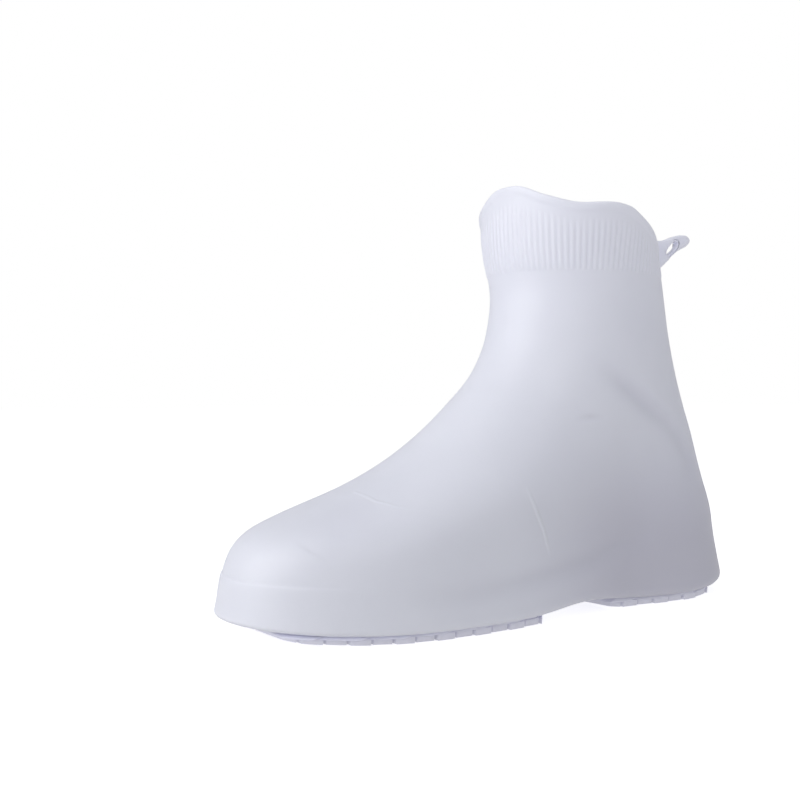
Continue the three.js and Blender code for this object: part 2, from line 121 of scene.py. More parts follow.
def groundLift(y):
    fromToe = y + coverLength / 2
    toHeel = coverLength / 2 - y
    spring = soleSizes["toeSpring"] * np.clip(1 - fromToe / soleSizes["toeSpringLength"], 0, 1) ** 2
    heelShare = np.clip(1 - toHeel / soleSizes["heelSpringLength"], 0, 1)
    spring = spring + soleSizes["heelSpring"] * heelShare ** 2
    fromArch = (y - soleSizes["archPlace"]) / (soleSizes["archLength"] / 2)
    return spring, soleSizes["archRise"] * np.exp(-fromArch ** 2)


def sectionAt(height):
    share = np.asarray(height, float) / sideHeight
    front = -coverLength * readTable(sectionRows["front"], share)
    back = coverLength * readTable(sectionRows["back"], share)
    return front, back, ballWidth * readTable(sectionRows["width"], share)


def wallPoints(turn, height, inset=0.0):
    # a point of the outer wall: turn 0 at the toe, 0.25 on the outer side, 0.5 at the heel
    turn, height = np.broadcast_arrays(np.asarray(turn, float), np.asarray(height, float))
    front, back, halfWidth = sectionAt(height)
    angle = 2 * math.pi * turn
    along = (1 - np.cos(angle)) / 2
    foot = 1 - smoothStep(height, *soleSizes["outlineFade"])
    outline = 1 + (readTable(soleOutlineRows, along) - 1) * foot
    x = (halfWidth * outline - inset) * np.sin(angle) - soleSizes["toeTurnIn"] * foot * (1 - along) ** 2
    y = (front + back) / 2 - ((back - front) / 2 - inset) * np.cos(angle)
    spring, arch = groundLift(y)
    raised = np.clip(1 - (height - soleSizes["treadDepth"]) / soleSizes["liftFade"], 0, 1)
    z = height + (spring + arch) * raised
    return np.stack([x + middle.x, y + middle.y, z], -1)


def rimHeight(turn):
    turn = np.asarray(turn, float)
    wrapped = (turn - rimTwist * np.cos(math.pi * turn) ** 2) % 1
    return sideHeight * readTable(rimRows, np.minimum(wrapped, 1 - wrapped))


shellPlan = {
    "columns": 100,
    "wallRings": 34,
    "wall": 0.002,
    "bandHeight": 0.023,
    "bandProud": 0.0006,
    "bandLength": 0.08,
    "ribCount": 100,
    "ribDepth": 0.00033,
    "ribFoot": 0.184,
    "ribGap": 0.003,
    "ribFade": 0.007,
    "beadHeight": 0.004,
    "beadProud": 0.0004,
    "beadEdge": 0.0015,
    "rimRound": 0.0008,
}
# folds and hollows: points in the side view as shares of the length and of the side height, with the
# depth pressed in there; side is 1 on the outer side and -1 on the inner one
foldRows = [
    {"name": "ankle fold", "side": 1, "width": 0.006,
     "points": [(0.13, 0.615, 0), (0.188, 0.563, 0.0017), (0.232, 0.523, 0.002),
                (0.302, 0.471, 0.0015), (0.335, 0.426, 0.0015), (0.361, 0.382, 0.0014),
                (0.366, 0.328, 0.0008), (0.364, 0.256, 0)]},
    {"name": "hump over the ankle fold", "side": 1, "width": 0.006,
     "points": [(0.222, 0.599, 0), (0.252, 0.548, -0.001), (0.289, 0.515, -0.001), (0.333, 0.475, 0)]},
    {"name": "hollow over the band", "side": 1, "width": 0.006,
     "points": [(-0.262, 0.1, 0), (-0.155, 0.096, 0.0008), (-0.054, 0.108, 0.0012),
                (0.038, 0.124, 0.0016), (0.121, 0.139, 0.0017), (0.176, 0.163, 0.0015),
                (0.238, 0.176, 0.0012), (0.29, 0.195, 0)]},
    {"name": "toe dent", "side": 1, "width": 0.014,
     "points": [(-0.33, 0.262, 0.0008), (-0.3, 0.274, 0.0008)]},
    {"name": "inner ankle fold", "side": -1, "width": 0.007,
     "points": [(0.112, 0.59, 0), (0.17, 0.555, 0.0012), (0.24, 0.5, 0.0017), (0.305, 0.44, 0.0012),
                (0.345, 0.37, 0)]},
]


def collarLine():
    # the collar's line under the ribs: turns, points, and the share of its length up to each point
    turns = np.linspace(0, 1, 1441)
    points = wallPoints(turns, shellPlan["ribFoot"])
    length = np.concatenate([[0], np.cumsum(np.linalg.norm(np.diff(points, axis=0), axis=1))])
    return turns, points, length / length[-1]


def readVerts(mesh):
    points = np.empty(len(mesh.vertices) * 3)
    mesh.vertices.foreach_get("co", points)
    return points.reshape(-1, 3)


def writeVerts(mesh, points):
    mesh.vertices.foreach_set("co", points.ravel())
    mesh.update()


def readNormals(mesh):
    normals = np.empty(len(mesh.vertices) * 3)
    mesh.vertices.foreach_get("normal", normals)
    return normals.reshape(-1, 3)


def applyModifier(piece, kind, name, **settings):
    selectOnly(piece)
    modifier = piece.modifiers.new(name, kind)
    for key, value in settings.items():
        setattr(modifier, key, value)
    bpy.ops.object.modifier_apply(modifier=modifier.name)


def extrudeRing(piece, points):
    # pulls the selected open edge on to the next ring of the boot
    bpy.ops.mesh.extrude_edges_move()
    edit = bmesh.from_edit_mesh(piece.data)
    column = edit.verts.layers.int["column"]
    for vert in edit.verts:
        if vert.select:
            vert.co = points[vert[column]]
    bmesh.update_edit_mesh(piece.data)


def shellRings(turns):
    plan, sole = shellPlan, soleSizes
    rings = []
    for quarter in (0, 1 / 3, 2 / 3, 1):
        angle = quarter * math.pi / 2
        height = sole["treadDepth"] + sole["edgeRadius"] * (1 - math.cos(angle))
        rings.append(wallPoints(turns, height, sole["edgeRadius"] * (1 - math.sin(angle))))
    bandTop = sole["treadDepth"] + plan["bandHeight"]
    for height in (0.0125, 0.018, bandTop - 0.0035, bandTop - 0.0012, bandTop - 0.0003):
        points = wallPoints(turns, height)
        fade = 1 - smoothStep(points[:, 1] - middle.y + coverLength / 2, 0, plan["bandLength"])
        proud = plan["bandProud"] * fade * smoothStep(height, 0.009, 0.0125)
        outwards = points - wallPoints(turns, height, 0.001)
        points += outwards / np.linalg.norm(outwards, axis=1)[:, None] * proud[:, None]
        rings.append(points)
    rings.append(wallPoints(turns, bandTop + 0.0003))
    rings.append(wallPoints(turns, bandTop + 0.0014))
    for step in range(1, plan["wallRings"] + 1):
        share = (step / plan["wallRings"]) ** 1.15
        rings.append(wallPoints(turns, bandTop + 0.0014 + (plan["ribFoot"] - bandTop - 0.0014) * share))
    rim = rimHeight(turns)
    ribTop = rim - plan["beadHeight"] - plan["ribGap"]
    for share in (0.02, 0.05, 0.15, 0.32, 0.5, 0.68, 0.85, 0.95, 1):
        rings.append(wallPoints(turns, plan["ribFoot"] + (ribTop - plan["ribFoot"]) * share))
    for below in (1.35, 1.1, 0.92, 0.65, 0.3, 0):
        rings.append(wallPoints(turns, rim - plan["beadHeight"] * below))
    return rings


def makeCage():
    plan = shellPlan
    # columns evenly spaced along the collar, so that the ribs are all alike
    fine, _, share = collarLine()
    turns = np.interp(np.arange(plan["columns"]) / plan["columns"], share, fine)
    rings = shellRings(turns)
    clearSelection()
    bpy.ops.mesh.primitive_circle_add(vertices=plan["columns"], radius=ballWidth / 2)
    piece = bpy.context.object
    piece.name = "siliconeShell"
    bpy.ops.object.mode_set(mode="EDIT")
    edit = bmesh.from_edit_mesh(piece.data)
    column = edit.verts.layers.int.new("column")
    edit.verts.ensure_lookup_table()
    loop = [edit.verts[0]]
    while len(loop) < len(edit.verts):
        after = [e.other_vert(loop[-1]) for e in loop[-1].link_edges]
        loop.append(next(v for v in after if v not in loop[-2:]))
    for index, vert in enumerate(loop):
        vert[column] = index
        vert.co = rings[0][index]
    bmesh.update_edit_mesh(piece.data)
    bpy.ops.mesh.select_all(action="SELECT")
    for points in rings[1:]:
        extrudeRing(piece, points)

    # the sole's underside closes the boot below
    bpy.ops.mesh.select_all(action="DESELECT")
    edit = bmesh.from_edit_mesh(piece.data)
    for edge in edit.edges:
        if edge.is_boundary and max(v.co.z for v in edge.verts) < 0.02:
            edge.select = True
    bmesh.update_edit_mesh(piece.data)
    bpy.context.tool_settings.mesh_select_mode = (False, True, False)
    for inset in (0.0055, 0.012, 0.022, 0.032):
        extrudeRing(piece, wallPoints(turns, soleSizes["treadDepth"], inset))
    bpy.ops.mesh.edge_face_add()
    bpy.ops.mesh.select_all(action="SELECT")
    bpy.ops.mesh.normals_make_consistent(inside=False)
    bpy.ops.object.mode_set(mode="OBJECT")
    return piece


def turnOf(points):
    # the turn at which a wall point lies, from its place in its section
    height = points[:, 2]
    front, back, halfWidth = sectionAt(height)
    across = (points[:, 0] - middle.x) / halfWidth
    along = (points[:, 1] - middle.y - (front + back) / 2) / ((back - front) / 2)
    return (np.arctan2(across, -along) / (2 * math.pi)) % 1


def pressFolds(piece):
    points, normals = readVerts(piece.data), readNormals(piece.data)
    pressed, raised = np.zeros(len(points)), np.zeros(len(points))
    scale = np.array([coverLength, sideHeight])
    for fold in foldRows:
        fade = smoothStep((points[:, 0] - middle.x) * fold["side"], 0, 0.025)
        for first, last in zip(fold["points"], fold["points"][1:]):
            start, run = np.array(first[:2]) * scale, (np.array(last[:2]) - first[:2]) * scale
            place = points[:, 1:3] - (middle.y, 0) - start
            reach = np.clip(place @ run / (run @ run), 0, 1)
            distance = np.linalg.norm(place - reach[:, None] * run, axis=1)
            depth = (first[2] + (last[2] - first[2]) * reach) * fade
            depth = depth * np.exp(-(distance / fold["width"]) ** 2)
            pressed = np.maximum(pressed, depth)
            raised = np.minimum(raised, depth)
    writeVerts(piece.data, points - normals * (pressed + raised)[:, None])
    # the folds' depth is kept with the mesh, so that shade can be painted darker in them
    kept = piece.data.attributes.new("foldDepth", "FLOAT", "POINT")
    kept.data.foreach_set("value", np.clip(pressed / 0.002, 0, 1))


def splitRibBand(piece):
    # each column of the ribbed band is divided in four, so that a rib is eight columns wide
    plan = shellPlan
    selectOnly(piece)
    bpy.ops.object.mode_set(mode="EDIT")
    bpy.ops.mesh.select_all(action="DESELECT")
    edit = bmesh.from_edit_mesh(piece.data)
    points = np.array([v.co for v in edit.verts])
    rim = rimHeight(turnOf(points))
    low = plan["ribFoot"] - 0.002
    high = rim - plan["beadHeight"] - 0.0012
    inBand = (points[:, 2] > low) & (points[:, 2] < high)
    for edge in edit.edges:
        a, b = edge.verts
        level = abs(a.co.z - b.co.z) < 0.6 * (a.co - b.co).length
        if level and inBand[a.index] and inBand[b.index]:
            edge.select = True
    bmesh.update_edit_mesh(piece.data)
    bpy.ops.mesh.subdivide(number_cuts=3, smoothness=0)
    bpy.ops.object.mode_set(mode="OBJECT")


def raiseRibsAndBead(piece, outerCount):
    plan = shellPlan
    points, normals = readVerts(piece.data), readNormals(piece.data)
    outer = points[:outerCount]
    # the ribs stand upright: each lies at one bearing round the collar's middle
    _, line, lineShare = collarLine()
    core = (line.min(0) + line.max(0)) / 2
    bearings = np.unwrap(np.arctan2(line[:, 0] - core[0], core[1] - line[:, 1]))
    bearing = np.arctan2(outer[:, 0] - core[0], core[1] - outer[:, 1]) % (2 * math.pi)
    share = np.interp(bearing, bearings, lineShare)
    rim = rimHeight(turnOf(outer))
    below = rim - outer[:, 2]
    foot = smoothStep(outer[:, 2], plan["ribFoot"], plan["ribFoot"] + 0.0022)
    ribTop = plan["beadHeight"] + plan["ribGap"]
    top = smoothStep(below, ribTop, ribTop + plan["ribFade"])
    wave = 0.5 + 0.5 * np.cos(2 * math.pi * plan["ribCount"] * share)
    rise = plan["ribDepth"] * smoothStep(wave, 0.05, 0.85) * foot * top
    beadLow, beadHigh = plan["beadHeight"] - plan["beadEdge"], plan["beadHeight"] + plan["beadEdge"]
    rise += plan["beadProud"] * (1 - smoothStep(below, beadLow, beadHigh))
    rise *= outer[:, 2] > plan["ribFoot"] - 0.001
    points[:outerCount] += normals[:outerCount] * rise[:, None]
    writeVerts(piece.data, points)


def roundRim(piece):
    selectOnly(piece)
    bpy.ops.object.mode_set(mode="EDIT")
    bpy.context.tool_settings.mesh_select_mode = (False, True, False)
    bpy.ops.mesh.select_all(action="DESELECT")
    edit = bmesh.from_edit_mesh(piece.data)
    for edge in edit.edges:
        if min(v.co.z for v in edge.verts) < shellPlan["ribFoot"]:
            continue
        if len(edge.link_faces) == 2 and edge.calc_face_angle() > math.radians(50):
            edge.select = True
    bmesh.update_edit_mesh(piece.data)
    bpy.ops.mesh.bevel(offset=shellPlan["rimRound"], segments=3, profile=0.5)
    bpy.ops.object.mode_set(mode="OBJECT")


def makeShell():
    piece = makeCage()
    applyModifier(piece, "SUBSURF", "smooth", levels=1, render_levels=1)
    splitRibBand(piece)
    pressFolds(piece)
    outerCount = len(piece.data.vertices)
    applyModifier(piece, "SOLIDIFY", "wall", thickness=shellPlan["wall"], offset=-1)
    raiseRibsAndBead(piece, outerCount)
    roundRim(piece)
    piece.data.shade_smooth()
    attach(piece, "root")
    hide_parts("shell")
    print("shell", len(piece.data.vertices), "vertices")
    return piece


shell = makeShell()


treadPlan = {
    "inset": 0.005,
    "seatGap": 0.0003,
    "plate": 0.0012,
    "scalePitch": 0.0205,
    "scaleProud": 0.0022,
    "scaleSlant": 0.005,
    "endRound": 0.010,
    "blockGap": 0.0016,
    "blockInset": 0.0002,
    "blockReach": 0.015,
    "blockSlant": 0.003,
    "grooveWidth": 0.003,
    "chevron": 0.009,
    "blockRound": 0.00035,
}
# where each tread starts and ends, as shares of the length from the toe
treadRows = {
    "forefoot_tread": {"start": 0.06, "end": 0.538},
    "heel_tread": {"start": 0.673, "end": 0.95},
}


def soleHalf(y, inset):
    # half width of the sole's underside at a place along it, and its middle there
    depth = soleSizes["treadDepth"]
    toe = wallPoints(0, depth, inset)[1]
    heel = wallPoints(0.5, depth, inset)[1]
    share = np.clip(((toe + heel) / 2 - y) / ((heel - toe) / 2), -1, 1)
    turn = np.arccos(share) / (2 * math.pi)
    outer = wallPoints(turn, depth, inset)[..., 0]
    inner = wallPoints(1 - turn, depth, inset)[..., 0]
    return (outer - inner) / 2, (outer + inner) / 2


def treadHalf(y, start, end, inset, swell=0.0):
    halfWidth, centre = soleHalf(y, inset)
    fromEnd = np.clip(np.minimum(y - start, end - y) / treadPlan["endRound"], 0.004, 1)
    halfWidth = (halfWidth - treadPlan["scaleProud"]) * np.sqrt(1 - (1 - fromEnd) ** 2)
    return halfWidth + swell, centre


def addSlab(columns, rows, place):
    # a closed slab: a grid pulled up, each point then placed by where it lies in the grid
    bpy.ops.mesh.select_all(action="DESELECT")
    edit = bmesh.from_edit_mesh(bpy.context.edit_object.data)
    old = set(edit.verts)
    bpy.ops.mesh.primitive_grid_add(x_subdivisions=columns, y_subdivisions=rows, size=2)
    bpy.ops.mesh.extrude_region_move(TRANSFORM_OT_translate={"value": (0, 0, 1)})
    edit = bmesh.from_edit_mesh(bpy.context.edit_object.data)
    for vert in edit.verts:
        if vert not in old:
            vert.co = place(vert.co.x, vert.co.y, vert.co.z > 0.5)
    bmesh.update_edit_mesh(bpy.context.edit_object.data)


def makeTread(name):
    plan = treadPlan
    start = coverLength * (treadRows[name]["start"] - 0.5) + middle.y
    end = coverLength * (treadRows[name]["end"] - 0.5) + middle.y
    depth, gap = soleSizes["treadDepth"], plan["seatGap"]
    clearSelection()
    bpy.ops.mesh.primitive_circle_add(vertices=3)
    piece = bpy.context.object
    piece.name = name + "Looks"
    bpy.ops.object.mode_set(mode="EDIT")
    bpy.ops.mesh.select_all(action="SELECT")
    bpy.ops.mesh.delete(type="VERT")

    # the plate, with scales that swell backwards along its edge and end in a step
    scales = max(1, round((end - start) / plan["scalePitch"]))
    scalePitch = (end - start) / scales
    ends = np.concatenate([np.linspace(0, 0.5, 9) ** 2 * 4, [2, 3.2]]) / 4 * plan["endRound"]
    shares = [(k + u, u) for k in range(scales) for u in (0.01, 0.2, 0.4, 0.6, 0.8, 0.99)]
    stations = [(start + scalePitch * at, swell) for at, swell in shares]
    stations += [(start + e, e / scalePitch % 1) for e in ends]
    stations += [(end - e, (1 - e / scalePitch) % 1) for e in ends]
    stations.sort()

    def placePlate(u, v, top):
        y, swell = stations[int(round((v + 1) / 2 * (len(stations) - 1)))]
        fade = smoothStep(min(y - start, end - y), 0, plan["endRound"])
        half, centre = treadHalf(y, start, end, plan["inset"], plan["scaleProud"] * swell * fade)
        spring, arch = groundLift(y - middle.y)
        z = depth - gap + spring + arch if top else depth - gap - plan["plate"] + spring
        slant = 0 if top else -plan["scaleSlant"] * fade * abs(u) ** 3
        return Vector((centre + half * u, y + slant, z))

    addSlab(12, len(stations) - 1, placePlate)

    # rows of blocks: one at each edge and a chevron between them, parted by slanted grooves
    rows = scales * 2
    blockPitch = (end - start) / rows
    for row in range(rows):
        first = start + blockPitch * row + plan["blockGap"] / 2
        last = first + blockPitch - plan["blockGap"]

        def height(y, top):
            spring = groundLift(y - middle.y)[0]
            return depth - gap - plan["plate"] * 0.8 + spring if top else float(spring)

        # two blocks stand under each scale, and swell with it
        swell = ((first + last) / 2 - start) / scalePitch % 1 * plan["scaleProud"]

        for side in (-1, 1):
            def placeBlock(u, v, top):
                y = first + (last - first) * (v + 1) / 2
                half, centre = treadHalf(y, start, end, plan["inset"])
                fade = float(smoothStep(min(y - start, end - y), 0, plan["endRound"]))
                outer = half + swell * fade - plan["blockInset"] - (0 if top else 0.0004)
                inner = max(outer - plan["blockReach"], 0.1 * outer)
                share = (u * side + 1) / 2
                across = inner + (outer - inner) * share
                y = y + plan["blockSlant"] * (share - 0.5)
                y = min(max(y, start + 0.0012), end - 0.0012)
                return Vector((centre + side * across, y, height(y, top)))

            addSlab(2, 2, placeBlock)

        def placeChevron(u, v, top):
            y = first + (last - first) * (v + 1) / 2
            half, centre = treadHalf(y, start, end, plan["inset"])
            reach = half - plan["blockInset"] - plan["blockReach"] - plan["grooveWidth"]
            y = y + plan["chevron"] * (abs(u) - 0.5)
            y = min(max(y, start + 0.0015), end - 0.0015)
            return Vector((centre + max(reach, 0.002) * u, y, height(y, top)))

        middleHalf = treadHalf((first + last) / 2, start, end, plan["inset"])[0]
        if middleHalf > plan["blockReach"] + plan["grooveWidth"] + 0.004:
            addSlab(4, 1, placeChevron)

    bpy.ops.mesh.select_all(action="SELECT")
    bpy.ops.mesh.normals_make_consistent(inside=False)
    bpy.context.tool_settings.mesh_select_mode = (False, True, False)
    bpy.ops.mesh.select_all(action="DESELECT")
    bpy.ops.mesh.edges_select_sharp(sharpness=math.radians(45))
    bpy.ops.mesh.bevel(offset=plan["blockRound"], segments=2, profile=0.5, clamp_overlap=True)
    bpy.ops.object.mode_set(mode="OBJECT")
    selectOnly(piece)
    bpy.ops.object.shade_smooth_by_angle(angle=math.radians(32))
    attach(piece, "root")
    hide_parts(name)
    print(name, len(piece.data.vertices), "vertices")
    return piece


forefootTread = makeTread("forefoot_tread")
heelTread = makeTread("heel_tread")


loopPlan = {
    "length": 0.041,
    "thickness": 0.005,
    "rootHeight": 0.025,
    "slotLength": 0.011,
    "slotHeight": 0.004,
    "slotLean": 0.8,
    "slotDrop": 0.0056,
    "slotFromTip": 0.0145,
    "slotShift": 0.05,
    "tipRound": 0.1,
    "rounding": 0.0013,
    "flare": 0.0022,
    "flareReach": 0.0022,
    "sink": 0.0006,
    "cells": (14, 14, 12),
}
# the loop's two edges: share of the way to the tip, and height over the root's upper end as a share
# of the root's height
fingerRows = {
    "upper": [(0, 0.06), (0.08, 0.01), (0.42, 0), (0.55, 0.04), (0.68, 0.12), (0.82, 0.18),
              (0.93, 0.19), (1, 0.17)],
    "lower": [(0, -1.1), (0.06, -0.98), (0.2, -0.84), (0.42, -0.63), (0.55, -0.48), (0.68, -0.3),
              (0.82, -0.17), (0.93, -0.09), (1, -0.04)],
}


def makePullLoop():
    plan = loopPlan
    rootTop = float(rimHeight(0.5)) - shellPlan["beadHeight"]
    tipY = float(wallPoints(0.5, rootTop)[1]) + shellPlan["ribDepth"] + 0.0003 + plan["length"]
    tip = Vector((tipY, rootTop + plan["rootHeight"] * 0.065))
    centre = Vector((tip.x - plan["slotFromTip"], tip.y - plan["slotDrop"]))
    axis = Vector((math.cos(plan["slotLean"]), math.sin(plan["slotLean"])))
    upright = Vector((-axis.y, axis.x))
    rootY = float(wallPoints(0.5, rootTop - plan["rootHeight"] / 2)[1])
    before, within, after = plan["cells"]
    columns = sum(plan["cells"])
    slotStart, slotEnd = ((centre + axis * plan["slotLength"] / 2 * side).x for side in (-1, 1))
    slotStart, slotEnd = ((y - rootY) / (tipY - rootY) for y in (slotStart, slotEnd))

    def alongAt(cell, side):
        # the columns lean over the slot as it leans itself
        lean = plan["slotShift"] * min(1, cell / before, ((columns - cell) / after) ** 2)
        if cell <= before:
            along = slotStart * cell / before
        elif cell <= before + within:
            share = (1 - math.cos(math.pi * (cell - before) / within)) / 2
            along = slotStart + (slotEnd - slotStart) * share
        else:
            along = slotEnd + (1 - slotEnd) * math.sin(math.pi / 2 * (cell - before - within) / after)
        return min(max(along - side * lean, 0), 1)

    def edgeAt(cell, side, inset):
        side = math.copysign(1, side)
        along = alongAt(cell, side)
        rows = fingerRows["upper" if side > 0 else "lower"]
        z = rootTop + plan["rootHeight"] * float(readTable(rows, along)) - side * inset
        towardsTip = max(0, 1 - (1 - along) / plan["tipRound"])
        z = tip.y + (z - tip.y) * math.sqrt(1 - towardsTip * towardsTip)
        root = float(wallPoints(0.5, z)[1]) - plan["sink"]
        return Vector((root + (tipY - inset - root) * along, z))

    def middleAt(cell, side, inset):
        long, high = plan["slotLength"] / 2 + inset, plan["slotHeight"] / 2 + inset
        if cell < before:
            share = cell / before
            start = (edgeAt(0, 1, inset) + edgeAt(0, -1, inset)) / 2
            return start.lerp(centre - axis * long, share)
        if cell > before + within:
            share = math.sin(math.pi / 2 * (cell - before - within) / after)
            return (centre + axis * long).lerp(Vector((tipY - inset, tip.y)), share)
        swing = -math.cos(math.pi * (cell - before) / within)
        bow = math.sqrt(max(0, 1 - swing * swing)) ** 0.8
        return centre + axis * long * swing + upright * side * high * bow

    clearSelection()
    bpy.ops.mesh.primitive_grid_add(x_subdivisions=columns, y_subdivisions=4, size=2)
    piece = bpy.context.object
    piece.name = "pullLoopLooks"
    bpy.ops.object.mode_set(mode="EDIT")
    bpy.context.tool_settings.mesh_select_mode = (False, True, False)
    bpy.ops.mesh.select_all(action="DESELECT")
    edit = bmesh.from_edit_mesh(piece.data)
    cellLayer = edit.verts.layers.int.new("cell")
    rowLayer = edit.verts.layers.int.new("row")
    sideLayer = edit.verts.layers.int.new("side")
    for vert in edit.verts:
        vert[cellLayer] = round((vert.co.x + 1) / 2 * columns)
        vert[rowLayer] = round(vert.co.y * 2)
    for edge in edit.edges:
        cells = [v[cellLayer] for v in edge.verts]
        onMiddle = all(v[rowLayer] == 0 for v in edge.verts)
        edge.select = onMiddle and min(cells) >= before and max(cells) <= before + within
    bmesh.update_edit_mesh(piece.data)
    bpy.ops.mesh.edge_split(type="EDGE")
    edit = bmesh.from_edit_mesh(piece.data)
    cellLayer = edit.verts.layers.int["cell"]
    rowLayer = edit.verts.layers.int["row"]
    sideLayer = edit.verts.layers.int["side"]
    for vert in edit.verts:
        across = sum(f.calc_center_median().y for f in vert.link_faces)
        vert[sideLayer] = 0 if abs(across) < 1e-5 else int(math.copysign(1, across))
    bmesh.update_edit_mesh(piece.data)

    # eight layers across the thickness round both faces' edges
    steps = [math.pi / 2 * k / 3 for k in (3, 2, 1, 0)]
    layers = [(-math.sin(a), 1 - math.cos(a)) for a in steps]
    layers += [(math.sin(a), 1 - math.cos(a)) for a in reversed(steps)]
    bpy.ops.mesh.select_all(action="SELECT")
    for index, (sideways, inset) in enumerate(layers):
        if index:
            bpy.ops.mesh.extrude_region_move(TRANSFORM_OT_translate={"value": (0, 0, 1)})
        edit = bmesh.from_edit_mesh(piece.data)
        cellLayer = edit.verts.layers.int["cell"]
        rowLayer = edit.verts.layers.int["row"]
        sideLayer = edit.verts.layers.int["side"]
        flat = plan["thickness"] / 2 - plan["rounding"]
        x = flat * (-1 if index < 4 else 1) + plan["rounding"] * sideways
        for vert in edit.verts:
            if not vert.select:
                continue
            cell, row, side = vert[cellLayer], vert[rowLayer], vert[sideLayer]
            inner = middleAt(cell, side, inset * plan["rounding"])
            place = inner
            if row:
                place = inner.lerp(edgeAt(cell, row, inset * plan["rounding"]), abs(row) / 2)
            wall = float(wallPoints(0.5, place.y)[1])
            off = max(place.x - wall, 0)
            widen = 1 + plan["flare"] / (plan["thickness"] / 2) * math.exp(-off / plan["flareReach"])
            vert.co = (middle.x + x * widen, place.x, place.y)
        bmesh.update_edit_mesh(piece.data)
    bpy.ops.mesh.select_all(action="SELECT")
    bpy.ops.mesh.remove_doubles(threshold=0.00001)
    bpy.ops.mesh.normals_make_consistent(inside=False)
    bpy.ops.object.mode_set(mode="OBJECT")
    selectOnly(piece)
    bpy.ops.object.shade_smooth_by_angle(angle=math.radians(50))
    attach(piece, "root")
    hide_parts("pull_loop")
    print("pull loop", len(piece.data.vertices), "vertices")
    return piece


pullLoop = makePullLoop()


def addNode(tree, kind, inputs=None, **settings):
    node = tree.nodes.new(kind)
    for key, value in settings.items():
        setattr(node, key, value)
    for socket, value in (inputs or {}).items():
        if isinstance(value, bpy.types.NodeSocket):
            tree.links.new(value, node.inputs[socket])
        else:
            node.inputs[socket].default_value = value
    return node


def makeGroup(name, inputs, outputs):
    tree = bpy.data.node_groups.new(name, "ShaderNodeTree")
    for label, (kind, value) in inputs.items():
        socket = tree.interface.new_socket(label, in_out="INPUT", socket_type="NodeSocket" + kind)
        socket.default_value = value
    for label, kind in outputs.items():
        tree.interface.new_socket(label, in_out="OUTPUT", socket_type="NodeSocket" + kind)
    return tree, tree.nodes.new("NodeGroupInput").outputs, tree.nodes.new("NodeGroupOutput").inputs


def makeMilkyGroup():
    # milky rubber: soft clouds in the colour and the gloss, and the fine skin of the mould
    tree, given, out = makeGroup(
        "milkyRubber",
        {"Place": ("Vector", (0, 0, 0)), "Light Color": ("Color", (1, 1, 1, 1)),
         "Deep Color": ("Color", (1, 1, 1, 1)), "Cloud Scale": ("Float", 12), "Patch Scale": ("Float", 55),
         "Skin Scale": ("Float", 700), "Roughness": ("Float", 0.4), "Roughness Spread": ("Float", 0.1)},
        {"Color": "Color", "Roughness": "Float", "Skin": "Float"})
    cloud = addNode(tree, "ShaderNodeTexNoise", {"Vector": given["Place"], "Scale": given["Cloud Scale"],
                                                 "Detail": 3, "Roughness": 0.45})
    share = addNode(tree, "ShaderNodeMapRange",
                    {"Value": cloud.outputs["Fac"], "From Min": 0.33, "From Max": 0.67})
    color = addNode(tree, "ShaderNodeMix",
                    {0: share.outputs[0], 6: given["Light Color"], 7: given["Deep Color"]}, data_type="RGBA")
    patches = addNode(tree, "ShaderNodeTexNoise",
                      {"Vector": given["Place"], "Scale": given["Patch Scale"], "Detail": 4})
    centred = addNode(tree, "ShaderNodeMath", {0: patches.outputs["Fac"], 1: 0.5}, operation="SUBTRACT")
    rough = addNode(tree, "ShaderNodeMath",
                    {0: centred.outputs[0], 1: given["Roughness Spread"], 2: given["Roughness"]},
                    operation="MULTIPLY_ADD")
    skin = addNode(tree, "ShaderNodeTexNoise",
                   {"Vector": given["Place"], "Scale": given["Skin Scale"], "Detail": 2})
    tree.links.new(color.outputs[2], out["Color"])
    tree.links.new(rough.outputs[0], out["Roughness"])
    tree.links.new(skin.outputs["Fac"], out["Skin"])
    return tree


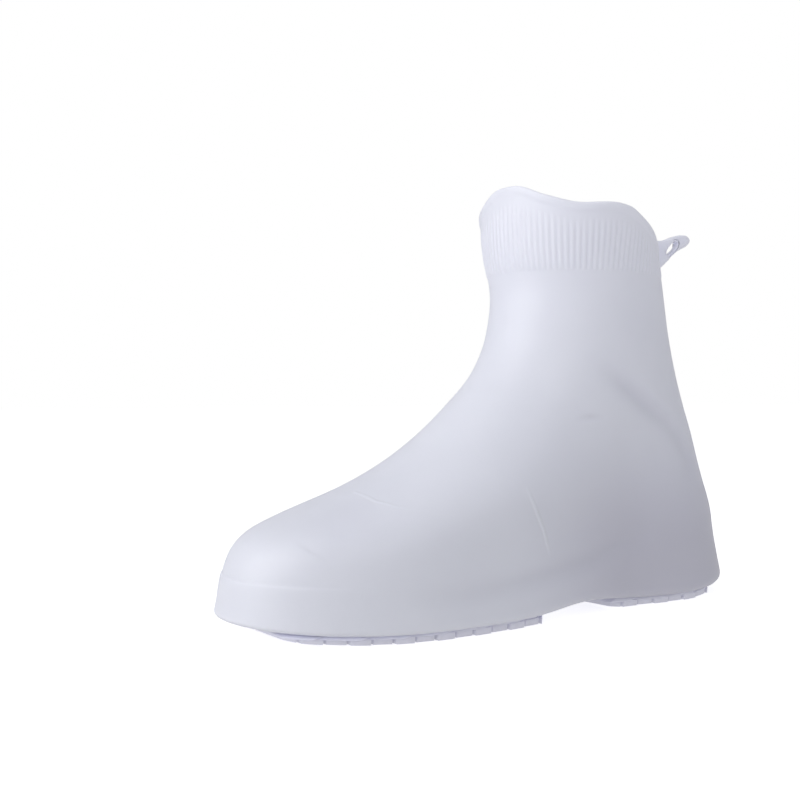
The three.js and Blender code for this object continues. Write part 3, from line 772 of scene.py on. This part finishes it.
def makeCreaseGroup():
    # one stretch of a thin crease: a soft line between two points, seen along the wall's facing
    tree, given, out = makeGroup(
        "thinCrease",
        {"Place": ("Vector", (0, 0, 0)), "Start": ("Vector", (0, 0, 0)), "End": ("Vector", (0, 0, 1)),
         "Facing": ("Vector", (1, 0, 0)), "Width": ("Float", 0.001), "Start Depth": ("Float", 1),
         "End Depth": ("Float", 1)},
        {"Mask": "Float"})

    def vector(operation, first, second):
        return addNode(tree, "ShaderNodeVectorMath", {0: first, 1: second}, operation=operation).outputs

    run = vector("SUBTRACT", given["End"], given["Start"])[0]
    place = vector("SUBTRACT", given["Place"], given["Start"])[0]
    ahead = vector("DOT_PRODUCT", place, run)[1]
    size = vector("DOT_PRODUCT", run, run)[1]
    along = addNode(tree, "ShaderNodeMath",
                    {0: ahead, 1: size}, operation="DIVIDE", use_clamp=True).outputs[0]
    near = addNode(tree, "ShaderNodeVectorMath", {0: run, "Scale": along}, operation="SCALE").outputs[0]
    away = vector("SUBTRACT", place, near)[0]
    depth = vector("DOT_PRODUCT", away, given["Facing"])[1]
    sunk = addNode(tree, "ShaderNodeVectorMath",
                   {0: given["Facing"], "Scale": depth}, operation="SCALE").outputs[0]
    off = vector("LENGTH", vector("SUBTRACT", away, sunk)[0], (0, 0, 0))[1]
    line = addNode(tree, "ShaderNodeMapRange",
                   {"Value": off, "From Min": given["Width"], "From Max": 0},
                   interpolation_type="SMOOTHSTEP").outputs[0]
    # only the wall that faces the crease takes it, not the one on the far side
    behind = addNode(tree, "ShaderNodeMath", {0: depth}, operation="ABSOLUTE").outputs[0]
    reach = addNode(tree, "ShaderNodeMapRange",
                    {"Value": behind, "From Min": 0.012, "From Max": 0.009}).outputs[0]
    strength = addNode(tree, "ShaderNodeMapRange", {
        "Value": along, "To Min": given["Start Depth"], "To Max": given["End Depth"]}).outputs[0]
    product = addNode(tree, "ShaderNodeMath", {0: line, 1: strength}, operation="MULTIPLY").outputs[0]
    mask = addNode(tree, "ShaderNodeMath", {0: product, 1: reach}, operation="MULTIPLY")
    tree.links.new(mask.outputs[0], out["Mask"])
    return tree


milkyRubber = makeMilkyGroup()
thinCrease = makeCreaseGroup()

siliconePlan = {
    "lightColor": (0.82, 0.83, 0.965, 1),
    "deepColor": (0.775, 0.785, 0.91, 1),
    # painted highlight along the raised creases
    "creaseHighlightColor": (0.85, 0.865, 1.0, 1),
    # painted shade in the folds and the pressed creases
    "foldShadeColor": (0.60, 0.60, 0.70, 1),
    # painted shade low round the heel: its colour, the heights it fades between, and its reach along the
    # length
    "heelShadeColor": (0.56, 0.555, 0.645, 1),
    "heelShadeTop": 0.112,
    "heelShadeFoot": 0.03,
    "heelShadeFrom": -0.035,
    "heelShadeTo": 0.07,
    "foldShadeShare": 0.45,
    # painted shade in the pressed creases: the share of the fold colour taken there
    "pressedShadeShare": 0.4,
    "roughness": 0.40,
    "scatter": 0.55,
    "scatterDepth": 0.008,
    "skinDepth": 0.00002,
    "creaseHeight": 0.0004,
}
# thin creases in the rubber: points (x, y, z, strength there), the way the wall faces, and the width; raised
# ones are also painted lighter, a painted highlight, and pressed ones darker, a painted shade
raisedCreases = [
    {"points": [(0.0509, -0.0125, 0.0732, 0), (0.0526, -0.0096, 0.0651, 0.8), (0.0522, -0.0052, 0.056, 1),
                (0.0511, -0.0012, 0.0489, 1), (0.0504, 0.0018, 0.0404, 0.7), (0.0499, 0.0034, 0.034, 0)],
     "facing": (1, 0.1, 0), "width": 0.0017},
    {"points": [(0.0086, -0.0876, 0.0688, 0.4), (0.0268, -0.0846, 0.0662, 0.6)],
     "facing": (0.19, -0.36, 0.91), "width": 0.0015},
    {"points": [(0.0268, -0.0846, 0.0662, 0.6), (0.0371, -0.0784, 0.064, 0.4), (0.0439, -0.0707, 0.0622, 0)],
     "facing": (0.45, -0.31, 0.83), "width": 0.0015},
]
# pressed creases are bumped in and painted darker, a painted shade
pressedCreases = [
    {"points": [(0.0259, -0.1274, 0.0495, 0), (0.0351, -0.1224, 0.0456, 0.5), (0.0412, -0.1163, 0.0412, 0)],
     "facing": (0.7, -0.48, 0.53), "width": 0.0022},
    {"points": [(0.0455, 0.0217, 0.106, 0), (0.0464, 0.0314, 0.1064, 0.7), (0.0466, 0.0419, 0.1065, 0)],
     "facing": (1, 0, 0.1), "width": 0.003},
]
treadRubberPlan = {
    "lightColor": (0.83, 0.83, 0.95, 1),
    "deepColor": (0.78, 0.78, 0.89, 1),
    "dustColor": (0.62, 0.62, 0.69, 1),
    "dustHeight": 0.0042,
    "roughness": 0.52,
    "scatter": 0.2,
    "scatterDepth": 0.004,
    "skinDepth": 0.00003,
    "grainScale": 260,
}


def startMaterial(name, plan):
    material = bpy.data.materials.new(name)
    material.use_nodes = True
    tree = material.node_tree
    shader = tree.nodes["Principled BSDF"]
    shader.inputs["Subsurface Weight"].default_value = plan["scatter"]
    shader.inputs["Subsurface Radius"].default_value = (1, 0.95, 1)
    shader.inputs["Subsurface Scale"].default_value = plan["scatterDepth"]
    place = addNode(tree, "ShaderNodeTexCoord").outputs["Object"]
    rubber = addNode(tree, "ShaderNodeGroup", node_tree=milkyRubber)
    tree.links.new(place, rubber.inputs["Place"])
    rubber.inputs["Light Color"].default_value = plan["lightColor"]
    rubber.inputs["Deep Color"].default_value = plan["deepColor"]
    rubber.inputs["Roughness"].default_value = plan["roughness"]
    tree.links.new(rubber.outputs["Roughness"], shader.inputs["Roughness"])
    skin = addNode(tree, "ShaderNodeBump", {"Height": rubber.outputs["Skin"], "Strength": 1,
                                            "Distance": plan["skinDepth"]})
    return material, tree, shader, place, rubber, skin


def addCreases(tree, place, rows):
    total = None
    for row in rows:
        for first, last in zip(row["points"], row["points"][1:]):
            crease = addNode(tree, "ShaderNodeGroup", node_tree=thinCrease)
            tree.links.new(place, crease.inputs["Place"])
            crease.inputs["Start"].default_value = first[:3]
            crease.inputs["End"].default_value = last[:3]
            crease.inputs["Facing"].default_value = Vector(row["facing"]).normalized()
            crease.inputs["Width"].default_value = row["width"]
            crease.inputs["Start Depth"].default_value = first[3]
            crease.inputs["End Depth"].default_value = last[3]
            mask = crease.outputs["Mask"]
            if total is not None:
                mask = addNode(tree, "ShaderNodeMath", {0: total, 1: mask}, operation="MAXIMUM").outputs[0]
            total = mask
    return total


def makeSilicone():
    plan = siliconePlan
    material, tree, shader, place, rubber, skin = startMaterial("milkySilicone", plan)

    def mixColor(factor, first, second):
        return addNode(tree, "ShaderNodeMix", {0: factor, 6: first, 7: second}, data_type="RGBA").outputs[2]

    # painted shade: the colour is darker low round the heel, and in the folds
    _, along, height = addNode(tree, "ShaderNodeSeparateXYZ", {0: place}).outputs
    low = addNode(tree, "ShaderNodeMapRange",
                  {"Value": height, "From Min": plan["heelShadeTop"], "From Max": plan["heelShadeFoot"]},
                  interpolation_type="SMOOTHSTEP").outputs[0]
    back = addNode(tree, "ShaderNodeMapRange",
                   {"Value": along, "From Min": plan["heelShadeFrom"], "From Max": plan["heelShadeTo"]},
                   interpolation_type="SMOOTHSTEP").outputs[0]
    heelShade = addNode(tree, "ShaderNodeMath", {0: low, 1: back}, operation="MULTIPLY").outputs[0]
    folds = addNode(tree, "ShaderNodeAttribute", attribute_name="foldDepth").outputs["Fac"]
    folds = addNode(tree, "ShaderNodeMath", {0: folds, 1: plan["foldShadeShare"]}, operation="MULTIPLY").outputs[0]
    raised = addCreases(tree, place, raisedCreases)
    pressed = addCreases(tree, place, pressedCreases)
    shaded = addNode(tree, "ShaderNodeMath",
                     {0: pressed, 1: plan["pressedShadeShare"]}, operation="MULTIPLY").outputs[0]
    # painted shade low round the heel, darker towards the heel's foot
    color = mixColor(heelShade, rubber.outputs["Color"], plan["heelShadeColor"])
    # painted shade in the folds, deeper where they are pressed deeper
    color = mixColor(folds, color, plan["foldShadeColor"])
    # painted shade in the pressed creases, beside their bump
    color = mixColor(shaded, color, plan["foldShadeColor"])
    # painted highlight along the raised creases, beside their bump
    color = mixColor(raised, color, plan["creaseHighlightColor"])
    tree.links.new(color, shader.inputs["Base Color"])
    height = addNode(tree, "ShaderNodeMath", {0: raised, 1: pressed}, operation="SUBTRACT").outputs[0]
    crease = addNode(tree, "ShaderNodeBump",
                     {"Height": height, "Strength": 1, "Distance": plan["creaseHeight"],
                      "Normal": skin.outputs["Normal"]})
    tree.links.new(crease.outputs["Normal"], shader.inputs["Normal"])
    return material


def makeTreadRubber():
    plan = treadRubberPlan
    material, tree, shader, place, rubber, skin = startMaterial("treadRubber", plan)
    # a little dust and wear near the ground
    height = addNode(tree, "ShaderNodeSeparateXYZ", {0: place}).outputs[2]
    grain = addNode(tree, "ShaderNodeTexNoise",
                    {"Vector": place, "Scale": plan["grainScale"], "Detail": 4}).outputs["Fac"]
    low = addNode(tree, "ShaderNodeMapRange",
                  {"Value": height, "From Min": plan["dustHeight"], "From Max": 0}).outputs[0]
    dust = addNode(tree, "ShaderNodeMath", {0: low, 1: grain}, operation="MULTIPLY").outputs[0]
    color = addNode(tree, "ShaderNodeMix", {0: dust, 6: rubber.outputs["Color"], 7: plan["dustColor"]},
                    data_type="RGBA")
    tree.links.new(color.outputs[2], shader.inputs["Base Color"])
    tree.links.new(skin.outputs["Normal"], shader.inputs["Normal"])
    return material


silicone = makeSilicone()
treadRubber = makeTreadRubber()
coats = ((shell, silicone), (forefootTread, treadRubber), (heelTread, treadRubber), (pullLoop, silicone))
for piece, material in coats:
    piece.data.materials.clear()
    piece.data.materials.append(material)
print("materials")


cameraPlan = {
    "place": (0.4562, -0.2877, 0.1203),
    "heading": 63.224,
    "tilt": -0.556,
    "focal": 965.6,
    "imageSide": 800,
}


def makeCamera():
    plan = cameraPlan
    data = bpy.data.cameras.new("camera")
    data.sensor_width = 36
    data.lens = 36 * plan["focal"] / plan["imageSide"]
    data.clip_start = 0.01
    camera = bpy.data.objects.new("camera", data)
    bpy.context.collection.objects.link(camera)
    camera.location = plan["place"]
    camera.rotation_euler = (math.radians(90 + plan["tilt"]), 0, math.radians(plan["heading"]))
    bpy.context.scene.camera = camera
    return camera


lightPlan = {
    "key": {"place": (0.08, -1.45, 0.68), "size": 1.6, "watts": 13.9},
    "top": {"place": (0, -0.3, 1.7), "size": 1.2, "watts": 1.1},
    "fill": {"place": (1.3, -0.3, 0.8), "size": 1, "watts": 2.2},
}
studioPlan = {
    "light": 0.53,
    "lightColor": (0.95, 0.96, 1, 1),
    "backdrop": 1.0,
    "floorColor": (0.9, 0.9, 0.91, 1),
    "floorLift": 0.58,
    "floorGlow": 0.72,
    "floorDrop": 0.0002,
}


def makeLights():
    for name, light in lightPlan.items():
        data = bpy.data.lights.new(name + "Light", "AREA")
        data.shape = "DISK"
        data.size = light["size"]
        data.energy = light["watts"]
        lamp = bpy.data.objects.new(name + "Light", data)
        bpy.context.collection.objects.link(lamp)
        lamp.location = light["place"]
        aim = Vector((0, 0, 0.1)) - lamp.location
        lamp.rotation_euler = aim.to_track_quat("-Z", "Y").to_euler()

    # the backdrop shows white, and lights the cover softly
    world = bpy.data.worlds.new("studio")
    bpy.context.scene.world = world
    world.use_nodes = True
    tree = world.node_tree
    seen = addNode(tree, "ShaderNodeBackground", {"Color": (1, 1, 1, 1), "Strength": studioPlan["backdrop"]})
    soft = tree.nodes["Background"]
    soft.inputs["Color"].default_value = studioPlan["lightColor"]
    soft.inputs["Strength"].default_value = studioPlan["light"]
    path = addNode(tree, "ShaderNodeLightPath")
    mix = addNode(tree, "ShaderNodeMixShader",
                  {0: path.outputs["Is Camera Ray"], 1: soft.outputs[0], 2: seen.outputs[0]})
    tree.links.new(mix.outputs[0], tree.nodes["World Output"].inputs["Surface"])
    bpy.context.scene.view_settings.view_transform = "Standard"


def makeFloor():
    plan = studioPlan
    clearSelection()
    bpy.ops.mesh.primitive_plane_add(size=12, location=(0, 0, -plan["floorDrop"]))
    floor = bpy.context.object
    floor.name = "floor"
    material = bpy.data.materials.new("paleFloor")
    material.use_nodes = True
    tree = material.node_tree
    shader = tree.nodes["Principled BSDF"]
    shader.inputs["Base Color"].default_value = plan["floorColor"]
    shader.inputs["Roughness"].default_value = 0.9
    shader.inputs["Specular IOR Level"].default_value = 0.2
    shader.inputs["Emission Color"].default_value = (1, 1, 1, 1)
    path = addNode(tree, "ShaderNodeLightPath")
    lift = addNode(tree, "ShaderNodeMath",
                   {0: path.outputs["Is Camera Ray"], 1: plan["floorLift"]}, operation="MULTIPLY")
    tree.links.new(lift.outputs[0], shader.inputs["Emission Strength"])
    # it lights the soles as a light table does, and is clear from below, so that they can be seen
    glow = addNode(tree, "ShaderNodeEmission", {"Color": plan["floorColor"], "Strength": plan["floorGlow"]})
    table = addNode(tree, "ShaderNodeMixShader",
                    {0: path.outputs["Is Camera Ray"], 1: glow.outputs[0], 2: shader.outputs[0]})
    clear = addNode(tree, "ShaderNodeBsdfTransparent")
    side = addNode(tree, "ShaderNodeNewGeometry")
    mix = addNode(tree, "ShaderNodeMixShader",
                  {0: side.outputs["Backfacing"], 1: table.outputs[0], 2: clear.outputs[0]})
    tree.links.new(mix.outputs[0], tree.nodes["Material Output"].inputs["Surface"])
    floor.data.materials.append(material)


makeCamera()
makeLights()
makeFloor()
print("camera, lights and floor")
